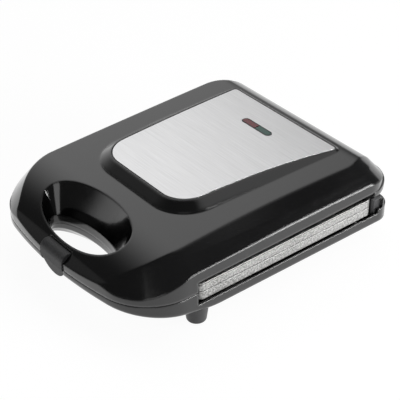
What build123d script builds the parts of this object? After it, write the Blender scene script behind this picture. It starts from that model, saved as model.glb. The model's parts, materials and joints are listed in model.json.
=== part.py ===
from build123d import *
import os
from math import hypot, sqrt

os.makedirs("parts", exist_ok=True)

# Millimetres. X runs across, Y from the handle to the hinge, Z up from the table.

# Cuts run this far past the faces that they open
over = 1.0

# The pieces are drawn about the baking plates, then moved so that the outline is centred
outline_shift_y = -1.6

# Plan outline of the two covers
half_width = 115.0
front_y = -156.0
front_bow_radius = 368.0
front_corner_radius = 54.0
lid_rear_y = 154.0
lid_rear_corner_radius = 34.0
base_rear_y = 151.0
base_rear_corner_radius = 18.0
cover_wall = 2.5
inner_skin = 2.0

# Heights shared by both covers
foot_height = 15.6
seam_z = 38.0
seam_gap = 0.6
lid_bottom_z = seam_z + seam_gap / 2
base_top_z = seam_z - seam_gap / 2

# Lid side profile: deck, rear curl, nose curl and front facet
deck_apex_y = 70.0
deck_apex_z = 80.8
deck_radius = 3000.0
rear_curl_radius = 42.0
nose_curl_radius = 76.0
front_crease_y = -145.5
front_crease_z = 51.3
facet_slope = 0.642
strip_top_z = 44.3

# Lid flanks: three level sections joined by straight lines give the slanting chamfer its slight bulge
flank_low_z = strip_top_z
flank_low_rear = (88.0, 160.0)
flank_low_rear_corner = (118.0, 148.0)
flank_low_hip = (127.0, 118.0)
flank_low_side = (127.5, 20.0)
flank_low_shoulder = (129.5, -90.0)
flank_low_corner = (101.5, -132.0)
flank_low_nose = (60.0, -154.0)
flank_low_tip_y = -162.0
flank_mid_z = 70.2
flank_mid_rear = (70.5, 142.2)
flank_mid_rear_corner = (98.3, 132.6)
flank_mid_hip = (108.0, 104.5)
flank_mid_side = (108.2, 27.5)
flank_mid_shoulder = (103.5, -90.0)
flank_mid_corner = (86.4, -122.0)
flank_mid_nose = (47.6, -136.2)
flank_mid_tip_y = -147.0
flank_high_z = 82.0
flank_high_rear = (63.5, 134.0)
flank_high_rear_corner = (88.0, 124.5)
flank_high_hip = (99.0, 100.0)
flank_high_side = (95.8, 30.0)
flank_high_shoulder = (90.6, -90.0)
flank_high_corner = (78.6, -116.6)
flank_high_nose = (42.0, -128.0)
flank_high_tip_y = -140.0
flank_wall = 3.5

# Lip around the rear of the lid
lip_reach = 6.0
lip_corner_radius = 39.0
lip_top_z = 50.0

# Underside of the base, sloping up towards the handle
slope_start_y = -79.0
slope_rise = 0.2
slope_edge_round = 4.0

# Finger hole through both covers
hole_y = -122.5
hole_seam_x = 45.0
hole_seam_y = 16.0
hole_top_z = 82.0
hole_top_x = 63.5
hole_top_y = 33.4
hole_top_centre_y = -120.6
hole_base_step = 1.0
hole_collar_z = 46.5
hole_collar_x = 46.2
hole_collar_y = 16.8
hole_waist_z = 30.5
hole_waist_x = 49.0
hole_waist_y = 17.4
hole_foot_x = 62.0
hole_foot_y = 30.0

# Side slots that show the edges of the baking plates
slot_front_y = -84.6
slot_rear_y = 124.5
slot_lid_front_z = 48.8
slot_lid_rear_z = 50.8
slot_base_z = 24.8
slot_base_rear_y = 131.0
lid_corner_open_inset = 17.5
lid_corner_open_x = half_width - lid_corner_open_inset
lid_corner_open_z = 45.0
lip_low_z = 44.6
base_rear_rim_z = 29.0
base_rear_screen_y = 137.0
lip_length = 80.0
handle_rear_y = -83.0

# Steel trim plate on a raised platform
trim_front_y = -58.5
trim_rear_y = 114.5
trim_front_half = 57.8
trim_middle_half = 62.5
trim_rear_half = 71.6
trim_front_corner = 26.0
trim_rear_corner = 3.0
trim_front_z = 85.7
trim_middle_z = 86.7
trim_rear_z = 81.8
trim_thickness = 0.8
trim_gap = 1.0
trim_groove_depth = 2.2
platform_rim = 1.5
platform_bevel = 10.0
platform_bevel_drop = 6.4
platform_skin = 3.4
platform_hollow_margin = 1.5
platform_low_z = 72.0
platform_clear_z = 91.0
trim_curve_reach = 20.0
under_trim_low_z = 68.0

# Pair of indicator lamps
lamp_y = 79.5
lamp_half_length = 19.3
lamp_half_width = 4.2
bezel_wall = 0.9
lamp_gap = 0.1
bezel_bar_drop = 0.6
bezel_depth = 6.0
lens_proud = 0.3
lens_depth = 4.0
lens_gap = 0.1
neon_radius = 2.0
neon_length = 11.0
neon_offset = 0.3
lamp_holder_height = 7.0
lamp_holder_wall = 1.2

# Baking plates
plate_front_y = -82.5
plate_rear_y = 123.5
plate_side_gap = 2.0
plate_half_width = half_width - plate_side_gap
plate_corner = 6.0
plate_wall = 2.2
plate_joint_gap = 0.7
lower_plate_top_z = 34.9
lower_plate_bottom_z = 26.8
upper_plate_top_z = 43.9
rim_groove_z = 42.0
rim_groove_height = 0.6
rim_groove_depth = 0.8
upper_plate_bottom_z = lower_plate_top_z + plate_joint_gap
cavity_columns = 3
cavity_rows = 3
cavity_pitch_x = 70.0
cavity_pitch_y = 64.0
cavity_radius = 24.0
cavity_depth = 5.5
cavity_floor_round = 2.5

# Screwed posts that carry the plates
post_front_x = 35.0
post_front_y = -74.0
post_rear_inset = 15.0
post_rear_x = half_width - post_rear_inset
post_rear_y = 111.0
post_radius = 4.5
boss_radius = 4.0
screw_radius = 1.6
screw_clearance = 0.05
screw_head_radius = 3.4
screw_head_height = 1.6
screw_bite = 5.0
screw_room = 0.4
screw_slot = 1.0
screw_slot_depth = 0.9
screw_head_drop = 0.6
sunk_head_gap = 0.3
sunk_head_depth = 0.4
shield_thickness = 0.5
lower_post_top_z = 23.6
upper_post_bottom_z = 46.5
shield_margin = 4.0
shield_hole_radius = 2.2

# Tubular heating elements
element_radius = 3.0
element_leg_x = 35.0
element_cross_y = -11.5
element_end_y = 112.0
element_bend = 14.0
terminal_pin_radius = 1.4
terminal_pin_length = 6.0
clamp_width = 8.0
clamp_thickness = 0.8
clamp_gap = 0.05
clamp_y = (20.5, 84.5)

# Hinge
hinge_y = 152.0
hinge_z = 39.5
hinge_inset = 27.0
hinge_x = half_width - hinge_inset
hinge_knuckle_radius = 4.6
hinge_tongue_half = 3.0
hinge_cheek_gap = 0.3
hinge_cheek_thickness = 3.7
hinge_pin_radius = 2.5
hinge_pin_clearance = 0.05
hinge_pin_head_radius = 3.8
hinge_pin_head = 1.4
hinge_pin_tail = 0.8
hinge_pin_head_gap = 0.1
hinge_notch_margin = 1.8
hinge_notch_front_y = 138.0
hinge_notch_top_z = 45.2
hinge_foot_thickness = 2.0
hinge_foot_front_y = 127.5
hinge_foot_rear_y = 147.8
hinge_cheek_front_z = 30.5
hinge_cheek_rear_z = 31.5
hinge_cheek_heel = (156.2, 37.7)
hinge_cheek_crown = (149.0, 42.9)
hinge_tongue_radius = 4.4
hinge_tongue_heel = (148.0, 38.0)
hinge_tongue_crown = (150.0, 43.4)
hinge_tongue_shoulder_z = 45.8
hinge_screw_reach = 1.0
hinge_flange_bottom_z = 50.0
hinge_flange_thickness = 2.0
hinge_flange_half = 10.3
hinge_flange_front_y = 128.0
hinge_flange_rear_y = 137.5
hinge_boss_radius = 3.2
hinge_boss_y = 132.8
hinge_boss_spacing = 13.4
hinge_housing_inset = 3.5
hinge_housing_width = 13.3
hinge_housing_outer_x = half_width - hinge_housing_inset
hinge_housing_inner_x = hinge_housing_outer_x - hinge_housing_width
hinge_housing_front_y = 126.5
hinge_housing_crown = (137.8, 39.9)
hinge_housing_heel = (143.4, 31.9)
hinge_housing_foot = (142.4, 28.9)
hinge_housing_chamfer = 2.0
hinge_screw_front_y = 131.5
hinge_screw_rear_y = 142.0

# Latch
latch_half_width = 16.5
latch_side_gap = 0.4
latch_proud = 0.8
latch_pin_y = -149.2
latch_pin_z = 44.4
latch_head_radius = 7.6
latch_head_cut = 1.9
latch_pin_radius = 1.5
latch_pin_clearance = 0.05
latch_knuckle_radius = 3.4
latch_knuckle_room = 0.6
latch_room = 6.0
latch_tongue_step = 1.0
latch_pocket_radius = 8.0
latch_face_bottom_z = 37.4
latch_tongue_top_y = -155.2
latch_tongue_bottom_y = -153.4
latch_bottom_z = 23.6
latch_tongue_radius = 17.5
latch_back_y = -150.3
latch_recess_y = -149.8
latch_hook_tip_y = -148.0
latch_hook_top_z = 29.0
latch_hook_bottom_z = 26.4
latch_cheek = 3.0
latch_cheek_margin = 2.0
latch_cheek_rise = 8.0
latch_spring_gap_half = 7.0
spring_wire_radius = 0.4
spring_coil_radius = 2.4
spring_turns = 6
spring_pitch_gap = 0.15

# Feet
foot_front_inset = 11.0
foot_front_x = half_width - foot_front_inset
foot_front_y = -78.0
foot_rear_inset = 37.0
foot_rear_x = half_width - foot_rear_inset
foot_rear_y = 112.0
foot_bottom_radius = 8.8
foot_top_radius = 10.8
foot_round = 2.6
foot_spigot_radius = 3.5
foot_spigot_gap = 0.1
foot_spigot_height = 3.5

# Electrical pieces in the base
inlet_x = 0.0
inlet_z = 22.3
inlet_bore = 2.9
inlet_radius = 3.9
inlet_flange_radius = 4.4
inlet_flange = 2.0
inlet_gap = 0.1
terminal_block_x = 34.0
terminal_block_length = 34.0
terminal_block_depth = 10.0
terminal_block_height = 10.0
terminal_block_front_y = 126.0
terminal_ways = 3
terminal_well_radius = 2.2
terminal_well_depth = 3.0
terminal_groove = 1.0
terminal_groove_depth = 4.5
wire_radius = 1.1
wire_bend = 3.0
lead_bend = 1.5
terminal_way_height = 3.2
terminal_way_gap = 0.1
lead_bite = 3.0

# Electrical pieces in the lid
thermostat_y = 30.0
thermostat_radius = 12.0
thermostat_height = 9.0
thermostat_stem_radius = 3.0
thermostat_stem = 6.0
thermostat_tab_reach = 7.0
thermostat_tab_half = 3.2
thermostat_tab_height = 2.0
thermostat_tab_thickness = 0.8
lamp_lead_x = 17.0
lamp_lead_turn = 14.0
lamp_lead_rise = 8.0
fuse_x = -34.0
fuse_y = 30.0
fuse_sleeve_radius = 3.0
fuse_length = 22.0
fuse_lead = 7.0
fuse_lead_radius = 0.7


def slab(face, low, high):
    """Straight prism of a plan face between two heights."""
    return extrude(Pos(0, 0, low) * face, high - low, dir=(0, 0, 1))


def across(face, half):
    """Prism of a side profile, drawn in Y and Z, over both sides of the middle plane."""
    return extrude(Plane.YZ * face, half, both=True)


def block(x_range, y_range, z_range):
    """Box between two limits on each axis."""
    size = [high - low for low, high in (x_range, y_range, z_range)]
    middle = [(high + low) / 2 for low, high in (x_range, y_range, z_range)]
    return Pos(*middle) * Box(*size)


def rod_x(y, z, radius, x_range):
    """Round bar along X."""
    start = Plane(origin=(x_range[0], y, z), z_dir=(1, 0, 0))
    return extrude(start * Circle(radius), x_range[1] - x_range[0])


def rod_y(x, z, radius, y_range):
    """Round bar along Y."""
    start = Plane(origin=(x, y_range[0], z), z_dir=(0, 1, 0))
    return extrude(start * Circle(radius), y_range[1] - y_range[0])


def rod_z(x, y, radius, z_range):
    """Round bar along Z."""
    return extrude(Pos(x, y, z_range[0]) * Circle(radius), z_range[1] - z_range[0])


def both_sides(shape):
    """The shape and its mirror image across the middle plane."""
    return shape + mirror(shape, about=Plane.YZ)


def arc_about(centre, radius, start, end):
    """The shorter arc about a centre from one point to another."""
    across_y = start[0] + end[0] - 2 * centre[0]
    across_z = start[1] + end[1] - 2 * centre[1]
    reach = radius / hypot(across_y, across_z)
    middle = (centre[0] + across_y * reach, centre[1] + across_z * reach)
    return ThreePointArc(start, middle, end)


def circle_meeting(first, first_radius, second, second_radius):
    """Where two circles cross, on the right of the line from the first to the second."""
    run = (second[0] - first[0], second[1] - first[1])
    distance = hypot(*run)
    along = (distance**2 + first_radius**2 - second_radius**2) / (2 * distance)
    aside = sqrt(first_radius**2 - along**2)
    unit = (run[0] / distance, run[1] / distance)
    return (first[0] + unit[0] * along + unit[1] * aside, first[1] + unit[1] * along - unit[0] * aside)


def stretch(centre, through, radius):
    """The point on a circle in the direction of another point."""
    reach = radius / hypot(through[0] - centre[0], through[1] - centre[1])
    return (centre[0] + (through[0] - centre[0]) * reach, centre[1] + (through[1] - centre[1]) * reach)


def plan_face(rear_y, rear_corner, inset=0.0):
    """Plan of a cover: bowed front, round front corners, straight sides, flat rear."""
    bow = Pos(0, front_y + front_bow_radius) * Circle(front_bow_radius - inset)
    depth = rear_y - front_y
    width = 2 * (half_width - inset)
    face = bow & Pos(0, rear_y - inset - depth / 2) * Rectangle(width, depth)
    face = fillet(face.vertices().sort_by(Axis.Y)[:2], front_corner_radius - inset)
    return fillet(face.vertices().sort_by(Axis.Y)[-2:], rear_corner - inset)


def lid_profile():
    """Side profile of the lid above the seam, carried on below it."""
    low_z = foot_height
    deck_centre = (deck_apex_y, deck_apex_z - deck_radius)
    curl_y = lid_rear_y - rear_curl_radius
    curl_reach = deck_radius - rear_curl_radius
    curl_z = deck_centre[1] + sqrt(curl_reach**2 - (curl_y - deck_apex_y) ** 2)
    curl_centre = (curl_y, curl_z)
    curl_top = stretch(deck_centre, curl_centre, deck_radius)
    crease = (front_crease_y, front_crease_z)
    nose_centre = circle_meeting(crease, nose_curl_radius, deck_centre, deck_radius - nose_curl_radius)
    if nose_centre[0] < front_crease_y:
        nose_centre = circle_meeting(deck_centre, deck_radius - nose_curl_radius, crease, nose_curl_radius)
    nose_top = stretch(deck_centre, nose_centre, deck_radius)
    facet_run = (front_crease_z - low_z) / facet_slope
    edges = [
        Line((lid_rear_y, low_z), (lid_rear_y, curl_z)),
        arc_about(curl_centre, rear_curl_radius, (lid_rear_y, curl_z), curl_top),
        arc_about(deck_centre, deck_radius, curl_top, nose_top),
        arc_about(nose_centre, nose_curl_radius, nose_top, crease),
        Line(crease, (front_crease_y - facet_run, low_z)),
        Line((front_crease_y - facet_run, low_z), (lid_rear_y, low_z)),
    ]
    return make_face(edges)


def flank_face(rear, rear_corner, hip, side, shoulder, corner, nose, tip_y, inset):
    """Level section of the flanks, set in by a wall."""
    diagonal = inset / sqrt(2)
    rear = (rear[0], rear[1] - inset)
    rear_corner = (rear_corner[0] - diagonal, rear_corner[1] - diagonal)
    hip = (hip[0] - inset, hip[1])
    side = (side[0] - inset, side[1])
    shoulder = (shoulder[0] - inset, shoulder[1])
    corner = (corner[0] - diagonal, corner[1] + diagonal)
    nose = (nose[0], nose[1] + inset)
    right = [
        ThreePointArc(rear, rear_corner, hip),
        ThreePointArc(hip, side, shoulder),
        ThreePointArc(shoulder, corner, nose),
    ]
    left = [mirror(edge, about=Plane.YZ) for edge in right]
    tip = ThreePointArc(nose, (0, tip_y + inset), (-nose[0], nose[1]))
    return make_face(right + [tip] + left + [Line((-rear[0], rear[1]), rear)])


def flanks(inset=0.0):
    """Body between the level flank sections."""
    low = flank_face(
        flank_low_rear, flank_low_rear_corner, flank_low_hip, flank_low_side, flank_low_shoulder,
        flank_low_corner, flank_low_nose, flank_low_tip_y, inset,
    )
    middle = flank_face(
        flank_mid_rear, flank_mid_rear_corner, flank_mid_hip, flank_mid_side, flank_mid_shoulder,
        flank_mid_corner, flank_mid_nose, flank_mid_tip_y, inset,
    )
    high = flank_face(
        flank_high_rear, flank_high_rear_corner, flank_high_hip, flank_high_side, flank_high_shoulder,
        flank_high_corner, flank_high_nose, flank_high_tip_y, inset,
    )
    levels = ((flank_low_z, low), (flank_mid_z, middle), (flank_high_z, high))
    return loft([(Pos(0, 0, z) * face).face() for z, face in levels], ruled=True)


def lid_body(inset=0.0, bottom_z=lid_bottom_z):
    """Solid form of the lid, without its platform: outer, or inset for the hollow."""
    plan = plan_face(lid_rear_y, lid_rear_corner_radius, inset)
    profile = lid_profile()
    flank_inset = 0.0
    if inset > 0:
        profile = offset(profile, -inset, kind=Kind.INTERSECTION)
        flank_inset = flank_wall
    crown = slab(plan, flank_low_z, flank_high_z) & across(profile, half_width) & flanks(flank_inset)
    return crown + slab(plan, bottom_z, flank_low_z)


def trim_face(grow=0.0):
    """Plan of the steel plate, grown all round."""
    right = ThreePointArc(
        (trim_front_half, trim_front_y),
        (trim_middle_half, (trim_front_y + trim_rear_y) / 2),
        (trim_rear_half, trim_rear_y),
    )
    left = ThreePointArc(
        (-trim_rear_half, trim_rear_y),
        (-trim_middle_half, (trim_front_y + trim_rear_y) / 2),
        (-trim_front_half, trim_front_y),
    )
    front = Line((-trim_front_half, trim_front_y), (trim_front_half, trim_front_y))
    rear = Line((trim_rear_half, trim_rear_y), (-trim_rear_half, trim_rear_y))
    face = make_face([front, right, rear, left])
    face = fillet(face.vertices().sort_by(Axis.Y)[:2], trim_front_corner)
    face = fillet(face.vertices().sort_by(Axis.Y)[-2:], trim_rear_corner)
    if grow > 0:
        face = offset(face, grow)
    return face


def trim_height(y):
    """Height of the steel plate's upper face at a place along the lid."""
    middle_y = (trim_front_y + trim_rear_y) / 2
    share = (y - middle_y) / (trim_rear_y - middle_y)
    mean = (trim_front_z + trim_rear_z) / 2
    return trim_middle_z + (trim_rear_z - trim_front_z) / 2 * share + (mean - trim_middle_z) * share**2


def under_trim(drop, half):
    """Everything under the plate's curved upper face, lowered by a drop."""
    ends = (trim_front_y - trim_curve_reach, trim_rear_y + trim_curve_reach)
    middle = (trim_front_y + trim_rear_y) / 2
    top = ThreePointArc(
        (ends[0], trim_height(ends[0]) - drop),
        (middle, trim_height(middle) - drop),
        (ends[1], trim_height(ends[1]) - drop),
    )
    face = make_face([
        top,
        Line((ends[1], trim_height(ends[1]) - drop), (ends[1], under_trim_low_z)),
        Line((ends[1], under_trim_low_z), (ends[0], under_trim_low_z)),
        Line((ends[0], under_trim_low_z), (ends[0], trim_height(ends[0]) - drop)),
    ])
    return across(face, half)


def platform():
    """Raised field with bevelled edges that carries the steel plate."""
    plan = trim_face(platform_rim + platform_bevel)
    body = slab(plan, platform_low_z, platform_clear_z) & under_trim(0.0, half_width)
    top = body.faces().sort_by(Axis.Z)[-1]
    return chamfer(top.edges(), platform_bevel, platform_bevel_drop, reference=top)


def ellipse_at(z, centre_y, half_x, half_y):
    """Level ellipse."""
    return (Pos(0, centre_y, z) * Ellipse(half_x, half_y)).face()


def lid_hole(grow=0.0):
    """Finger hole through the lid: a steep collar above the seam, then drafted wide to the deck."""
    low = ellipse_at(lid_bottom_z, hole_y, hole_seam_x + grow, hole_seam_y + grow)
    collar = ellipse_at(hole_collar_z, hole_y, hole_collar_x + grow, hole_collar_y + grow)
    high = ellipse_at(hole_top_z, hole_top_centre_y, hole_top_x + grow, hole_top_y + grow)
    return loft([low, collar], ruled=True) + loft([collar, high], ruled=True)


def base_hole(grow=0.0):
    """Finger hole through the base, near upright to its waist and then scooped out downwards."""
    step = hole_base_step + grow
    high = ellipse_at(base_top_z, hole_y, hole_seam_x + step, hole_seam_y + step)
    waist = ellipse_at(hole_waist_z, hole_y, hole_waist_x + grow, hole_waist_y + grow)
    low = ellipse_at(foot_height, hole_y, hole_foot_x + grow, hole_foot_y + grow)
    return loft([low, waist], ruled=True) + loft([waist, high], ruled=True)


def lamp_pill(shrink, low, high):
    """Prism of the lamp opening."""
    plan = Pos(0, lamp_y) * SlotOverall(2 * (lamp_half_length - shrink), 2 * (lamp_half_width - shrink))
    return slab(plan, low, high)


def corner_places():
    """The four screwed places of a baking plate."""
    front = [(side * post_front_x, post_front_y) for side in (-1, 1)]
    return front + [(side * post_rear_x, post_rear_y) for side in (-1, 1)]


def hinge_boss_places():
    """Screw places of the upper hinges."""
    offsets = (-hinge_boss_spacing / 2, hinge_boss_spacing / 2)
    return [(side * hinge_x + step, hinge_boss_y) for side in (-1, 1) for step in offsets]


def latch_pocket():
    """Room in the lid for the latch and its swing."""
    half = latch_half_width + latch_side_gap
    swing = rod_x(latch_pin_y, latch_pin_z, latch_pocket_radius, (-half, half))
    back_y = latch_pin_y + latch_knuckle_radius + latch_knuckle_room
    front = block((-half, half), (front_y - latch_room, back_y), (lid_bottom_z - over, latch_pin_z))
    return swing + front


def latch_cheeks(body):
    """Ribs of the lid that hold the latch pin, either side of its pocket."""
    near = latch_half_width + latch_side_gap
    rib = block((near, near + latch_cheek),
                (front_y - latch_room, latch_pin_y + latch_pocket_radius + latch_cheek_margin),
                (lid_bottom_z, front_crease_z + latch_cheek_rise))
    return both_sides(rib & body)


def lid_slot():
    """Notch in the side wall of the lid over the plates' edges, higher towards the rear."""
    low_z = lid_bottom_z - over
    face = Polyline(
        (slot_front_y, low_z), (slot_rear_y, low_z), (slot_rear_y, slot_lid_rear_z),
        (slot_front_y, slot_lid_front_z), close=True,
    )
    notch = across(make_face(face), half_width + over)
    keep_half = half_width - 2 * cover_wall
    middle = block((-keep_half, keep_half), (slot_front_y - over, slot_rear_y + over),
                   (low_z - over, flank_high_z))
    return notch - middle


def upper_cover():
    """Lid cover: hollow shell with platform, finger hole, side slots, posts and hinge notches."""
    outer = lid_body() + platform()
    hollow = lid_body(cover_wall, lid_bottom_z - over)
    handle_floor = block((-half_width, half_width), (front_y, handle_rear_y),
                         (lid_bottom_z - over, lid_bottom_z + inner_skin))
    hollow = hollow - handle_floor - lid_hole(cover_wall)
    hollow = hollow + (slab(trim_face(platform_hollow_margin), platform_low_z, platform_clear_z)
                       & under_trim(platform_skin, half_width))
    seat = slab(trim_face(trim_gap), deck_apex_z, platform_clear_z)
    groove = slab(trim_face(trim_gap) - trim_face(), platform_low_z, platform_clear_z)
    seat = seat - under_trim(trim_thickness, half_width)
    seat = seat + (groove - under_trim(trim_groove_depth, half_width))
    lip_plan = Pos(0, lid_rear_y + lip_reach - lip_length / 2) * Rectangle(2 * half_width, lip_length)
    lip_plan = fillet(lip_plan.vertices().sort_by(Axis.Y)[-2:], lip_corner_radius)
    lip = slab(lip_plan, lip_low_z, lip_top_z)
    inside = plan_face(lid_rear_y, lid_rear_corner_radius, cover_wall)
    lip = lip - slab(inside, lid_bottom_z - over, lip_top_z + over)
    lip = lip & block((-half_width, half_width), (slot_rear_y, lid_rear_y + lip_reach),
                      (lip_low_z, lip_top_z))
    shell = outer - hollow - lid_hole() + lip
    posts = [rod_z(x, y, post_radius, (upper_post_bottom_z, flank_high_z)) for x, y in corner_places()]
    bosses_z = hinge_flange_bottom_z + hinge_flange_thickness
    posts += [rod_z(x, y, hinge_boss_radius, (bosses_z, flank_high_z)) for x, y in hinge_boss_places()]
    shell = shell + [post & outer for post in posts] + latch_cheeks(outer - lid_hole())
    shell = shell - seat - lamp_pill(0.0, platform_low_z, platform_clear_z) - lid_slot() - latch_pocket()
    corner = block((lid_corner_open_x, half_width + over), (slot_rear_y - over, lid_rear_y + over),
                   (lid_bottom_z - over, lid_corner_open_z))
    shell = shell - both_sides(hinge_notch() + corner)
    bore = screw_radius + screw_clearance
    for x, y in corner_places():
        shell = shell - rod_z(x, y, bore,
                              (upper_post_bottom_z - over, upper_post_bottom_z + screw_bite + over))
    for x, y in hinge_boss_places():
        shell = shell - rod_z(x, y, bore, (bosses_z - over, bosses_z + screw_bite + over))
    pin_half = latch_half_width + latch_side_gap + latch_cheek * 2 / 3
    pin_bore = rod_x(latch_pin_y, latch_pin_z, latch_pin_radius + latch_pin_clearance, (-pin_half, pin_half))
    return shell - pin_bore


def hinge_half():
    """Half width of the hinge over its two cheeks."""
    return hinge_tongue_half + hinge_cheek_gap + hinge_cheek_thickness


def hinge_notch():
    """Room for the hinge in the lip of the lid, on the right."""
    reach = hinge_half() + hinge_notch_margin
    return block((hinge_x - reach, hinge_x + reach), (hinge_notch_front_y, lid_rear_y + lip_reach + over),
                 (lid_bottom_z - over, hinge_notch_top_z))


def base_body(inset=0.0, top_z=base_top_z):
    """Solid form of the base: flat underside that slopes up to the handle."""
    plan = plan_face(base_rear_y, base_rear_corner_radius, inset)
    low = foot_height + inset
    run = slope_start_y - front_y
    front = (front_y - over, low + (run + over) * slope_rise)
    profile = make_face(Polyline(
        (base_rear_y, low), (slope_start_y, low), front, (front_y - over, top_z), (base_rear_y, top_z),
        close=True,
    ))
    body = slab(plan, low, top_z) & across(profile, half_width)
    if inset > 0:
        return body
    slope = body.faces().sort_by_distance((0, front_y + run / 2, low + run / 2 * slope_rise))[0]
    edges = slope.edges().filter_by(lambda edge: edge.center().Y < slope_start_y - over)
    return fillet(edges, slope_edge_round)


def lower_cover():
    """Base cover: open tray with the lower half of the handle."""
    outer = base_body()
    hollow = base_body(cover_wall, base_top_z + over)
    handle_roof = block((-half_width, half_width), (front_y, handle_rear_y),
                        (base_top_z - inner_skin, base_top_z + over))
    near = latch_half_width + latch_side_gap
    latch_wall = block((-near - cover_wall, near + cover_wall), (front_y - over, latch_recess_y + cover_wall),
                       (foot_height, base_top_z + over))
    screen = block((-half_width, half_width), (base_rear_screen_y, base_rear_screen_y + inner_skin),
                   (foot_height, base_top_z - inner_skin))
    hollow = hollow - handle_roof - base_hole(cover_wall) - latch_wall - screen
    shell = outer - hollow - base_hole()
    posts = [rod_z(x, y, post_radius, (foot_height + over, lower_post_top_z)) for x, y in corner_places()]
    shell = shell + posts
    side_slot = block((half_width - 2 * cover_wall, half_width + over), (slot_front_y, slot_base_rear_y),
                      (slot_base_z, base_top_z + over))
    rear_cut = block((-half_width - over, half_width + over), (slot_base_rear_y, base_rear_y + over),
                     (base_rear_rim_z, base_top_z + over))
    rear_cut = rear_cut - block((-half_width, half_width),
                                (base_rear_screen_y, base_rear_screen_y + inner_skin), (foot_height, seam_z))
    recess = block((-near, near), (front_y - over, latch_recess_y), (foot_height, base_top_z + over))
    shell = shell - both_sides(side_slot) - rear_cut - recess
    shell = shell & slab(plan_face(base_rear_y, base_rear_corner_radius), foot_height, base_top_z)
    reach = hinge_half() + hinge_notch_margin
    ear_room = block((hinge_x - reach, half_width - cover_wall),
                     (base_rear_screen_y - over, base_rear_screen_y + inner_skin + over),
                     (foot_height + cover_wall, seam_z))
    shell = shell - both_sides(ear_room)
    shell = shell - rod_y(inlet_x, inlet_z, inlet_radius + inlet_gap,
                          (base_rear_screen_y - over, base_rear_y + over))
    for x, y in corner_places() + lower_hinge_screw_places():
        shell = shell - rod_z(x, y, screw_radius + screw_room,
                              (foot_height - over, lower_post_top_z + over))
        shell = shell - rod_z(x, y, screw_head_radius + screw_room,
                              (foot_height - over, foot_height + screw_head_height - screw_head_drop))
    for x, y in foot_places():
        shell = shell - rod_z(x, y, foot_spigot_radius + foot_spigot_gap,
                              (foot_height - over, lower_post_top_z))
    return shell


def baking_plate(face_z, open_edge_z, boss_end_z):
    """Cast plate with round cavities sunk in its face, a skirt all round and four bosses."""
    up = 1.0 if open_edge_z > face_z else -1.0
    size = (2 * plate_half_width, plate_rear_y - plate_front_y)
    middle_y = (plate_front_y + plate_rear_y) / 2
    plan = Pos(0, middle_y) * RectangleRounded(*size, plate_corner)
    inner_plan = Pos(0, middle_y) * RectangleRounded(
        size[0] - 2 * plate_wall, size[1] - 2 * plate_wall, plate_corner - plate_wall
    )
    web_z = face_z + up * plate_wall
    low, high = sorted((face_z, open_edge_z))
    body = slab(plan, low, high)
    low, high = sorted((web_z, open_edge_z + up * over))
    body = body - slab(inner_plan, low, high)
    for x, y in cavity_places():
        low, high = sorted((face_z, face_z + up * (cavity_depth + plate_wall)))
        body = body + rod_z(x, y, cavity_radius + plate_wall, (low, high))
    for x, y in corner_places():
        low, high = sorted((face_z + up * over, boss_end_z))
        body = body + rod_z(x, y, boss_radius, (low, high))
    for x, y in cavity_places():
        low, high = sorted((face_z, face_z + up * cavity_depth))
        dish = rod_z(x, y, cavity_radius, (low, high))
        floor = dish.faces().sort_by(Axis.Z)[-1 if up > 0 else 0]
        body = body - fillet(floor.edges(), cavity_floor_round)
    return body


def cavity_places():
    """Centres of the cookie cavities."""
    middle_y = (plate_front_y + plate_rear_y) / 2
    columns = [(column - (cavity_columns - 1) / 2) * cavity_pitch_x for column in range(cavity_columns)]
    rows = [middle_y + (row - (cavity_rows - 1) / 2) * cavity_pitch_y for row in range(cavity_rows)]
    return [(x, y) for x in columns for y in rows]


def lower_baking_plate():
    """Lower plate, its bosses bored for screws from below."""
    bottom = lower_post_top_z + shield_thickness
    plate = baking_plate(lower_plate_top_z, lower_plate_bottom_z, bottom)
    bore_z = (bottom - over, bottom + screw_bite + over)
    for x, y in corner_places():
        plate = plate - rod_z(x, y, screw_radius + screw_clearance, bore_z)
    return plate


def upper_baking_plate():
    """Upper plate, its bosses bored through for screws from the baking face."""
    top = upper_post_bottom_z - shield_thickness
    plate = baking_plate(upper_plate_bottom_z, upper_plate_top_z, top)
    for x, y in corner_places():
        plate = plate - rod_z(x, y, screw_radius + screw_clearance, (upper_plate_bottom_z - over, top + over))
        plate = plate - rod_z(x, y, screw_head_radius + sunk_head_gap,
                              (upper_plate_bottom_z - over,
                               upper_plate_bottom_z + screw_head_height + sunk_head_depth))
    return plate - rim_groove()


def rim_groove():
    """Groove round the side of the upper plate, under its rim."""
    middle_y = (plate_front_y + plate_rear_y) / 2
    size = (2 * plate_half_width, plate_rear_y - plate_front_y)
    outer = Pos(0, middle_y) * RectangleRounded(size[0] + 2 * over, size[1] + 2 * over, plate_corner)
    inner = Pos(0, middle_y) * RectangleRounded(
        size[0] - 2 * rim_groove_depth, size[1] - 2 * rim_groove_depth, plate_corner - rim_groove_depth
    )
    return slab(outer - inner, rim_groove_z, rim_groove_z + rim_groove_height)


def heat_shield(low):
    """Thin steel sheet behind a baking plate."""
    inset = plate_wall + shield_margin
    middle_y = (plate_front_y + plate_rear_y) / 2
    plan = Pos(0, middle_y) * RectangleRounded(
        2 * (plate_half_width - inset), plate_rear_y - plate_front_y - 2 * inset, plate_corner
    )
    sheet = slab(plan, low, low + shield_thickness)
    for x, y in corner_places():
        sheet = sheet - rod_z(x, y, shield_hole_radius, (low - over, low + over))
    return sheet


def element_z(upper):
    """Height of an element's middle line, lying on the plate's web."""
    if upper:
        return upper_plate_bottom_z + plate_wall + element_radius
    return lower_plate_top_z - plate_wall - element_radius


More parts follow.
